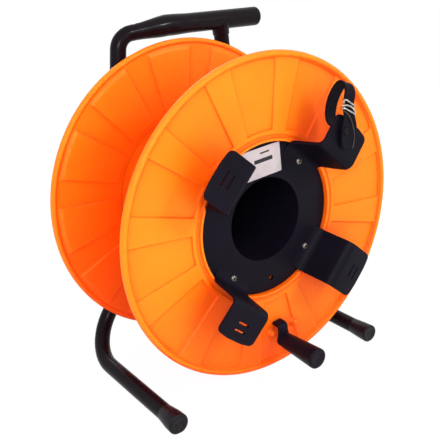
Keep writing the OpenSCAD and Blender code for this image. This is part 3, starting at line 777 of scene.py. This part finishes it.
def rubber_strap():
    """Strap swept along its stations: it twists out of the arm's slots and hangs as a tab."""
    steps = (len(STRAP) - 1) * 5
    line = [spline(STRAP, k / 5) for k in range(steps + 1)]
    places = [from_axle(*station[:3]) for station in line]
    points = []
    for i, (lean, width) in enumerate(station[3:] for station in line):
        heading = (places[min(i + 1, steps)] - places[max(i - 1, 0)]).normalized()
        a = math.radians(lean)
        wide = Vector((math.cos(a), 0, math.sin(a)))
        wide = (wide - heading * wide.dot(heading)).normalized()
        thick = heading.cross(wide)
        section = strap_section(max(width, 6), STRAP_T, STRAP_RIB)
        points += [places[i] + wide * (p.x * MM) + thick * (p.y * MM) for p in section]
    piece("rubber_strap", points, skin(steps + 1, len(section), capped=True), STRAP_RUBBER,
          "drum", "black_rubber", ["strap"], crease=40)


rubber_strap()


def strap_weave():
    """Stub of the strap that shows between the two slots and behind the arm's plate."""
    weave = [(ARM_LENGTH - from_end, off) for from_end, off in WEAVE]
    line = [spline(weave, k / 4) for k in range((len(weave) - 1) * 4 + 1)]
    section = strap_section(*STUB)
    points = []
    for i, (u, h) in enumerate(line):
        before, after = line[max(i - 1, 0)], line[min(i + 1, len(line) - 1)]
        du, dh = after[0] - before[0], after[1] - before[1]
        length = math.hypot(du, dh)
        for p in section:
            uu, hh = u - dh / length * p.y, h + du / length * p.y
            x, y, heading = along_arm(uu)
            points.append(on_drum(x - hh * math.sin(heading), 45 + ARM_SPRING[45][1],
                                  y + hh * math.cos(heading), p.x))
    piece("strap_weave", points, skin(len(line), len(section), capped=True), STRAP_RUBBER,
          "drum", "black_rubber", crease=40)


strap_weave()


def wire_buckle():
    """Ladder buckle of nickel-plated wire: two rounded loops round the strap's front leg and
    the short wires that join them."""
    wire_r, rung_r, half_wide, lean = 1.0, 0.85, 8.7, math.radians(BUCKLE_LEAN)
    wide, deep = Vector((math.cos(lean), 0, math.sin(lean))), Vector((0, 1, 0))
    up = Vector((0, 0, 1))
    points, faces = [], []

    def wire(z, depth, shape, arch, closed):
        centre = from_axle(BUCKLE_X, z, depth)
        line = [centre + (wide * p.x + deep * p.y + up * (arch * (1 - (p.x / 9.5) ** 2))) * MM
                for p in shape]
        join(points, faces, *drawn_tube(line, lambda run: wire_r * MM, 12, closed))

    upper = soft_corners([(-8.4, -2.6), (8.6, -2.6), (8.6, 2.6), (-8.4, 2.6)], [2.2] * 4, steps=6)
    lower = soft_corners([(-12.2, -2.8), (9.6, -2.8), (9.6, 2.6), (-12.2, 2.6)], [2.2] * 4, steps=6)
    bar = soft_corners([(-12.0, -0.4), (-7, -3.3), (0, -3.6), (5, -3.2), (9.9, -1.4)],
                       [0, 3, 4, 3, 0], closed=False)
    wire(129.8, -47.8, upper, 1.8, True)
    wire(120.8, -48.2, lower, 2.6, True)
    wire(124.0, -48.4, bar, 2.6, False)
    for s in (-1, 1):
        rung = [from_axle(BUCKLE_X, z, BUCKLE_DEPTH) + wide * (s * half_wide * MM)
                for z in (129.4, 125.3, 121.2)]
        join(points, faces, *drawn_tube(rung, lambda run: rung_r * MM, 12))
    piece("strap_wire_buckle", points, faces, NICKEL, "drum", "steel", ["strap_buckle"], crease=50)


wire_buckle()


def strap_edge_highlight():
    """Paler line along the edge of the strap's tab, from the buckle round to its lower corner: a painted highlight
    where the light catches that edge.
    """
    thin, swell, fade_mm = 0.2, 0.35, 12
    stations = [(59.8, 125.5, -50.6), (65.5, 123.5, -51.6), (71.2, 119.0, -52.4),
                (75.1, 112.9, -52.7), (78.6, 105.2, -52.6), (80.7, 99.2, -52.5),
                (81.6, 93.0, -52.4), (81.2, 85.6, -52.2), (79.6, 79.6, -52.0)]
    line = [from_axle(*spline(stations, k / 4)) for k in range(4 * (len(stations) - 1) + 1)]
    points, faces = drawn_tube(
        line, lambda run: (thin + swell * smooth_step(run, 0, fade_mm * MM)) * MM, 10)
    piece("strap_edge_highlight", points, faces, EDGE_HIGHLIGHT_RUBBER, "drum", "black_rubber", crease=60)


strap_edge_highlight()


def strap_stud():
    """Press stud that holds the strap's tab: a ring with a dished middle."""
    profile = [(0.001, 0.5), (2.0, 0.45), (2.5, 0.6), (2.9, 1.2), (3.4, 1.35), (3.9, 1.1),
               (4.1, 0.5), (4.1, -1.0)]
    place = around(from_axle(69.2, 101.0, -52.1), Vector((0, -1, 0)), Vector((1, 0, 0)))
    piece("strap_stud", *turned(profile, place, 32), SLEEVE, "drum", "black_rubber", crease=60)


strap_stud()

# ---------------------------------------------------------------- crank
# Depths from the rim: the lever's front face, its eye's front, and the grip's two ends
LEVER_FACE, EYE_FRONT, GRIP_ROOT, GRIP_END = -12.0, -15.0, -15.3, -70.3
# The lever's thickness, width and inner bend, the radius that it stands up at and its lowest
# depth, and its eye and the bore for the pin
LEVER_T, LEVER_W, LEVER_BEND = 4.0, 13.2, 3.5
LEVER_IN, LEVER_FOOT = CRANK_R - 22, 5.6
EYE_R, BORE_R = 9.2, 4.2

# Placing function for lathe shapes on the crank pin, forward from the rim's plane
on_crank_pin = around(from_axle(*CRANK_AT, 0), Vector((0, -1, 0)), Vector((1, 0, 0)))


def crank_lever_strip():
    """Lever from a flat strip with an eye: it stands out of its slot and bends to the grip."""
    rise = LEVER_FOOT - (LEVER_FACE + LEVER_T / 2) - LEVER_BEND
    bend_end = rise + LEVER_BEND * math.pi / 2
    eye_at = bend_end + (CRANK_R - LEVER_IN - LEVER_T / 2 - LEVER_BEND)
    half = LEVER_W / 2
    neck = math.degrees(math.asin((half + 1.2) / EYE_R))
    eye, eye_steps = [], 32
    for k in range(eye_steps + 1):
        a = math.radians(-180 + neck + k * (360 - 2 * neck) / eye_steps)
        eye.append((eye_at + EYE_R * math.cos(a), EYE_R * math.sin(a)))
    shoulder = eye_at - EYE_R - 2.5
    outline = [(0, -half)] + [(shoulder, -half)] + eye + [(shoulder, half), (0, half)]
    radii = [1.0, 6.0] + [0] * len(eye) + [6.0, 1.0]
    points, faces = flat_blank(soft_corners(outline, radii), [], LEVER_T, 0.9)
    cuts = [rise + (bend_end - rise) * k / 8 for k in range(9)] + [rise * 0.5]

    def bend(u, v, h):
        # h runs from the front face to the back face of the strip once it is bent
        r, depth, heading = LEVER_IN + LEVER_T / 2, LEVER_FOOT - u, -math.pi / 2
        if u > bend_end:
            r += LEVER_BEND + (u - bend_end)
            depth, heading = LEVER_FACE + LEVER_T / 2, 0.0
        elif u > rise:
            t = (u - rise) / LEVER_BEND
            r += LEVER_BEND * (1 - math.cos(t))
            depth, heading = LEVER_FOOT - rise - LEVER_BEND * math.sin(t), t - math.pi / 2
        return on_drum(r - h * math.sin(heading), -90, depth + h * math.cos(heading), -v)

    moved, kept = bent_blank(points, faces, cuts, bend)
    # Boss round the eye, which the grip runs on
    profile = soft_corners([(BORE_R, 11), (EYE_R, 11), (EYE_R, -EYE_FRONT), (BORE_R, -EYE_FRONT)],
                           [0, 0, 1.2, 0], closed=False)
    join(moved, kept, *turned([tuple(p) for p in profile], on_crank_pin, 56))
    piece("crank_lever_strip", moved, kept, NYLON, "drum", "black_plastic", ["crank_lever"],
          crease=40)


crank_lever_strip()


def crank_grip_handle():
    """Turning grip: tapered, with a rounded end that has a dished middle."""
    root, end = -GRIP_ROOT, -GRIP_END
    outer = soft_corners([(BORE_R, root), (9.75, root), (12.5, end - 4.2), (12.5, end), (8.2, end)],
                         [0, 1.6, 3, 3.6, 0], closed=False, steps=6)
    dish = soft_corners([(8.2, end), (7.4, end - 1.0), (0.001, end - 1.2)], [0, 0.6, 0],
                        closed=False, steps=3)
    profile = [tuple(p) for p in outer + dish[1:]]
    piece("crank_grip_handle", *turned(profile, on_crank_pin, 72), GRIP, "crank_grip",
          "black_plastic", ["crank_grip"], crease=40)


crank_grip_handle()

# ---------------------------------------------------------------- tube frame
# Radius of the tube, and depth of the uprights behind the front rim
TUBE_R = 9.75
FRAME_D = 184.25
# Half widths at the feet, the knees and the top
FOOT_X, KNEE_X, TOP_X = 152.0, 108.0, 75.5
# Heights of the knees and the feet from the floor, then these and the handle's from the axle
FLOOR_KNEE, FLOOR_FOOT = 64.0, 10.75
KNEE_Z, HANDLE_Z, FOOT_Z = FLOOR_KNEE - AXLE_Z, 204.5, FLOOR_FOOT - AXLE_Z
# How far the left top corner lies below the handle, where the handle's kink and its far end
# are across, and the depth of the feet's front ends
CORNER_DROP, KINK_X, GRIP_FAR, FOOT_DEPTH = 6.0, -6.0, 136.2, -24.0
# Bend radii of the tube's middle line
KNEE_BEND, TOP_BEND, KINK_BEND = 25, 20, 40
UPRIGHT_SLOPE = (KNEE_X - TOP_X) / (HANDLE_Z - KNEE_Z)
UPRIGHT_LEAN = math.atan(UPRIGHT_SLOPE)
# Bends are never so wide that they run into each other
foot_out, knee_up = FOOT_X - KNEE_X, FLOOR_KNEE - TUBE_R
knee_cut = KNEE_BEND * math.tan((math.atan2(foot_out, knee_up) - UPRIGHT_LEAN) / 2)
CORNER_BEND = min(58, math.hypot(foot_out, knee_up) - knee_cut - 1)
foot_rise = (FLOOR_FOOT - TUBE_R) / (FRAME_D - CORNER_BEND - FOOT_DEPTH)
CORNER_Z = TUBE_R - foot_rise * CORNER_BEND - AXLE_Z
# Real frames aren't quite true: how far each foot stands ahead, how far the left top corner
# is pulled in, and each foot cap's radius; and how far a cap reaches past its tube
FOOT_AHEAD = {-1: 3.0, 1: -2.5}
CORNER_IN = 3.0
CAP_R = {-1: 12.5, 1: 11.6}
CAP_AHEAD, CAP_LONG = 3, 29
# Bracket plate between the uprights: half height, thickness, axle hole, and gap at the welds
PLATE_HALF, PLATE_T, AXLE_HOLE_R, PLATE_GAP = 32.0, 5.0, 10.1, 0.4


def upright_x(z):
    """Half width of the frame at a height from the axle."""
    return TOP_X + (HANDLE_Z - z) * UPRIGHT_SLOPE


def side_points(s):
    """Foot's front end, rear corner and knee of one side: -1 is left, 1 is right."""
    return [from_axle(s * FOOT_X, FOOT_Z, FOOT_DEPTH - FOOT_AHEAD[s]),
            from_axle(s * FOOT_X, CORNER_Z, FRAME_D), from_axle(s * KNEE_X, KNEE_Z, FRAME_D)]


top_corner = from_axle(CORNER_IN - upright_x(HANDLE_Z - CORNER_DROP), HANDLE_Z - CORNER_DROP,
                       FRAME_D)
kink_point = from_axle(KINK_X, HANDLE_Z, FRAME_D)
grip_far = from_axle(GRIP_FAR, HANDLE_Z, FRAME_D)


def bent_frame_tube(name, node, points, bends):
    """Frame tube: cold-bent steel, with the faint flattening of a mandrel bend left out."""
    line = route(points, [b * MM for b in bends], 12 * MM)
    piece(name, *drawn_tube(line, lambda run: TUBE_R * MM, 44), POWDER, "frame", "black_paint",
          [node], crease=50)


bent_frame_tube("left_tube", "frame_tube_left",
                side_points(-1) + [top_corner, kink_point, grip_far - Vector((12 * MM, 0, 0))],
                [CORNER_BEND, KNEE_BEND, TOP_BEND, KINK_BEND])
right_top = HANDLE_Z - TUBE_R - TUBE_R * math.sin(UPRIGHT_LEAN) - 0.1
bent_frame_tube("right_tube", "frame_tube_right",
                side_points(1) + [from_axle(upright_x(right_top), right_top, FRAME_D)],
                [CORNER_BEND, KNEE_BEND])


def grip_sleeve():
    """Sleeve of the handle: it swells out of the rising tube, is thickest at the kink, and
    thins a little before its rounded end; a short collar takes the right-hand upright."""
    segments, end_r, mouth = 48, 4.0, 1.2
    rise = (kink_point - top_corner).normalized()
    line = route([kink_point - rise * (46 * MM), kink_point, grip_far], [KINK_BEND * MM], 4 * MM)
    total = sum((b - a).length for a, b in zip(line, line[1:]))

    def radius(run):
        s = run / MM
        r = 9.85 + 3.1 * smooth_step(s, 0, 44) - 0.9 * smooth_step(s, 52, 82)
        return (r - 0.3 * max(mouth - s, 0)) * MM

    # The rounded far end follows a quarter circle
    along, across = Vector((1, 0, 0)), Vector((0, 1, 0))
    while (line[-1] - grip_far).length < end_r * MM * 0.999:
        line.pop()
    radii = [None] * len(line)
    body_r = radius(total)
    for k in range(9):
        a = math.pi / 2 * k / 8
        line.append(grip_far + along * ((math.sin(a) - 1) * end_r * MM))
        radii.append(body_r - end_r * MM * (1 - math.cos(a)))
    line.append(grip_far + along * (0.3 * MM))
    radii.append(body_r * 0.45)
    points, run = [], 0.0
    for i, (p, end_radius) in enumerate(zip(line, radii)):
        run += (p - line[i - 1]).length if i else 0
        heading, r = along, end_radius
        if end_radius is None:
            heading = (line[min(i + 1, len(line) - 1)] - line[max(i - 1, 0)]).normalized()
            r = radius(run)
        up = heading.cross(across).normalized()
        for k in range(segments):
            a = 2 * math.pi * k / segments
            points.append(p + (across * math.cos(a) + up * math.sin(a)) * r)
    faces = skin(len(line), segments, capped=True)
    collar = [(9.8, 19), (10.5, 18.6), (10.8, 18), (10.9, 14), (11.2, 12), (11.8, 10), (12.0, 4)]
    at = from_axle(upright_x(HANDLE_Z), HANDLE_Z, FRAME_D)
    down = (from_axle(upright_x(0), 0, FRAME_D) - at).normalized()
    join(points, faces, *turned(collar, around(at, down, across), 44))
    piece("grip_sleeve", points, faces, SLEEVE, "frame", "black_rubber", ["handle_grip"], crease=40)


grip_sleeve()


def foot_cap(name, node, s):
    """Foot cap: a dipped sleeve that flares out of the tube, with a rounded end and a small
    moulding mark in its face; its sole is worn flat where it stands."""
    front, corner = side_points(s)[:2]
    along = (corner - front).normalized()
    r = CAP_R[s]
    outer = soft_corners([(7.0, 0.0), (r, 0.0), (r - 0.5, 13), (9.87, CAP_LONG),
                          (TUBE_R, CAP_LONG + 0.1)], [0, 2.4, 20, 0.5, 0], closed=False, steps=6)
    mark = [(0.001, 0.7), (2.2, 0.7), (2.8, 0.15), (3.6, 0.15), (4.2, 0.7), (6.0, 0.7), (6.5, 0.2)]
    place = around(front - along * (CAP_AHEAD * MM), along, Vector((0, 0, 1)))
    points, faces = turned(mark + [tuple(p) for p in outer], place, 56)
    for p in points:
        p.z = max(p.z, 0.0)
    piece(name, points, faces, CAP_RUBBER, "frame", "black_rubber", [node], crease=40)


foot_cap("foot_cap_on_left", "foot_cap_left", -1)
foot_cap("foot_cap_on_right", "foot_cap_right", 1)


def bracket_plate():
    """Steel plate between the uprights, cut to them, edges broken."""
    top, low = PLATE_HALF, -PLATE_HALF
    gap = TUBE_R * math.cos(UPRIGHT_LEAN) + PLATE_GAP
    outline = [Vector((-upright_x(low) + gap, low)), Vector((upright_x(low) - gap, low)),
               Vector((upright_x(top) - gap, top)), Vector((-upright_x(top) + gap, top))]
    loop = [a.lerp(b, k / 6) for a, b in zip(outline, outline[1:] + outline[:1]) for k in range(6)]
    points, faces = flat_blank(loop, [ring_loop(AXLE_HOLE_R, 48)], PLATE_T, 0.6)
    moved = [from_axle(x, y, FRAME_D + h) for x, y, h in points]
    piece("bracket_plate", moved, faces, POWDER, "frame", "black_paint", ["axle_bracket"])


bracket_plate()


def weld_beads():
    """Weld beads where the plate meets the uprights, front and back: stacked ripples under
    the powder coat."""
    bead_r, ripple, ripple_mm, half_length, off = 2.3, 0.35, 3.4, 31, 3.1
    points, faces = [], []
    for s in (-1, 1):
        for side in (-1, 1):
            line = []
            for k in range(61):
                z = -half_length + 2 * half_length * k / 60
                x = s * (upright_x(z) - TUBE_R * math.cos(UPRIGHT_LEAN) - 0.6)
                line.append(from_axle(x, z, FRAME_D + side * off))
            join(points, faces, *drawn_tube(line, lambda run: (
                bead_r + ripple * abs(math.sin(run / MM * math.pi / ripple_mm))) * MM, 14))
    piece("weld_beads", points, faces, POWDER, "frame", "black_paint", crease=60)


weld_beads()

# ---------------------------------------------------------------- carried-over CAD parts
NODE_FINISH = {"orange_plastic": ORANGE, "black_plastic": NYLON, "black_paint": OXIDE,
               "black_rubber": STRAP_RUBBER, "steel": ZINC}
for subpart in frame["record"]["subparts"]:
    node = frame["nodes"][subpart["node"]]
    node.data.materials.clear()
    node.data.materials.append(NODE_FINISH[subpart["material_slot"]])
    node.data.shade_smooth()
    node.data.set_sharp_from_angle(angle=math.radians(30))


# ---------------------------------------------------------------- floor, backdrop and light
def shown_white(tree):
    """1 on a ray from the camera, off a gloss or through something clear, 0 on the rest: on
    those the studio is plain white, and it lights the reel at its own level."""
    ray = add(tree, "ShaderNodeLightPath")
    shown = ray.outputs["Is Camera Ray"]
    for kind in ("Is Glossy Ray", "Is Transmission Ray"):
        shown = add(tree, "ShaderNodeMath", [(shown, 0), (ray.outputs[kind], 1)],
                    operation="MAXIMUM").outputs[0]
    return shown


# White paper, matt; the little that isn't glow keeps the reel's shadow
floor_material, tree, at = finish_of("studio_paper")
paper = add(tree, "ShaderNodeBsdfDiffuse", i_Color=rgb("#EAEAEA"))
glow = add(tree, "ShaderNodeEmission", i_Color=(1, 1, 1, 1), i_Strength=1.03)
share = add(tree, "ShaderNodeMath", [(shown_white(tree), 0)], operation="MULTIPLY", i_1=0.93)
mixed = add(tree, "ShaderNodeMixShader",
            [(share.outputs[0], 0), (paper.outputs[0], 1), (glow.outputs[0], 2)])
add(tree, "ShaderNodeOutputMaterial", [(mixed.outputs[0], "Surface")])

# Six metres each way, a hair under the feet
bm = bmesh.new()
bmesh.ops.create_grid(bm, x_segments=1, y_segments=1, size=6)
floor_mesh = bpy.data.meshes.new("studio_floor")
bm.to_mesh(floor_mesh)
bm.free()
floor = bpy.data.objects.new("studio_floor", floor_mesh)
floor.data.materials.append(floor_material)
floor.location.z = -0.0002
scene.collection.objects.link(floor)

world = bpy.data.worlds.new("studio")
scene.world = world
world.use_nodes = True
tree = world.node_tree
tree.nodes.clear()
room = add(tree, "ShaderNodeBackground", i_Color=(1, 1, 1, 1), i_Strength=0.8)
white = add(tree, "ShaderNodeBackground", i_Color=(1, 1, 1, 1), i_Strength=1.0)
picked = add(tree, "ShaderNodeMixShader",
             [(shown_white(tree), 0), (room.outputs[0], 1), (white.outputs[0], 2)])
add(tree, "ShaderNodeOutputWorld", [(picked.outputs[0], 0)])


def softbox(name, place, aim, size, power):
    """Rectangular lamp in metres and watts, turned to face a point."""
    data = bpy.data.lights.new(name, "AREA")
    data.shape = "RECTANGLE"
    data.size, data.size_y = size
    data.energy = power
    lamp = bpy.data.objects.new(name, data)
    lamp.location = place
    lamp.rotation_euler = (Vector(aim) - Vector(place)).to_track_quat("-Z", "Y").to_euler()
    scene.collection.objects.link(lamp)


# The key casts the arms' shadows, the left light fills, the back light rims the tubes
softbox("key_light", (0.85, -1.75, 1.35), (0, 0, 0.2), (0.26, 0.26), 14)
softbox("left_light", (-0.57, -0.73, 0.66), (-0.1, 0, 0.15), (0.4, 0.3), 5.2)
softbox("back_light", (0.5, 1.8, 0.9), (0, 0, 0.2), (0.7, 0.7), 9)

scene.view_settings.view_transform = "Standard"
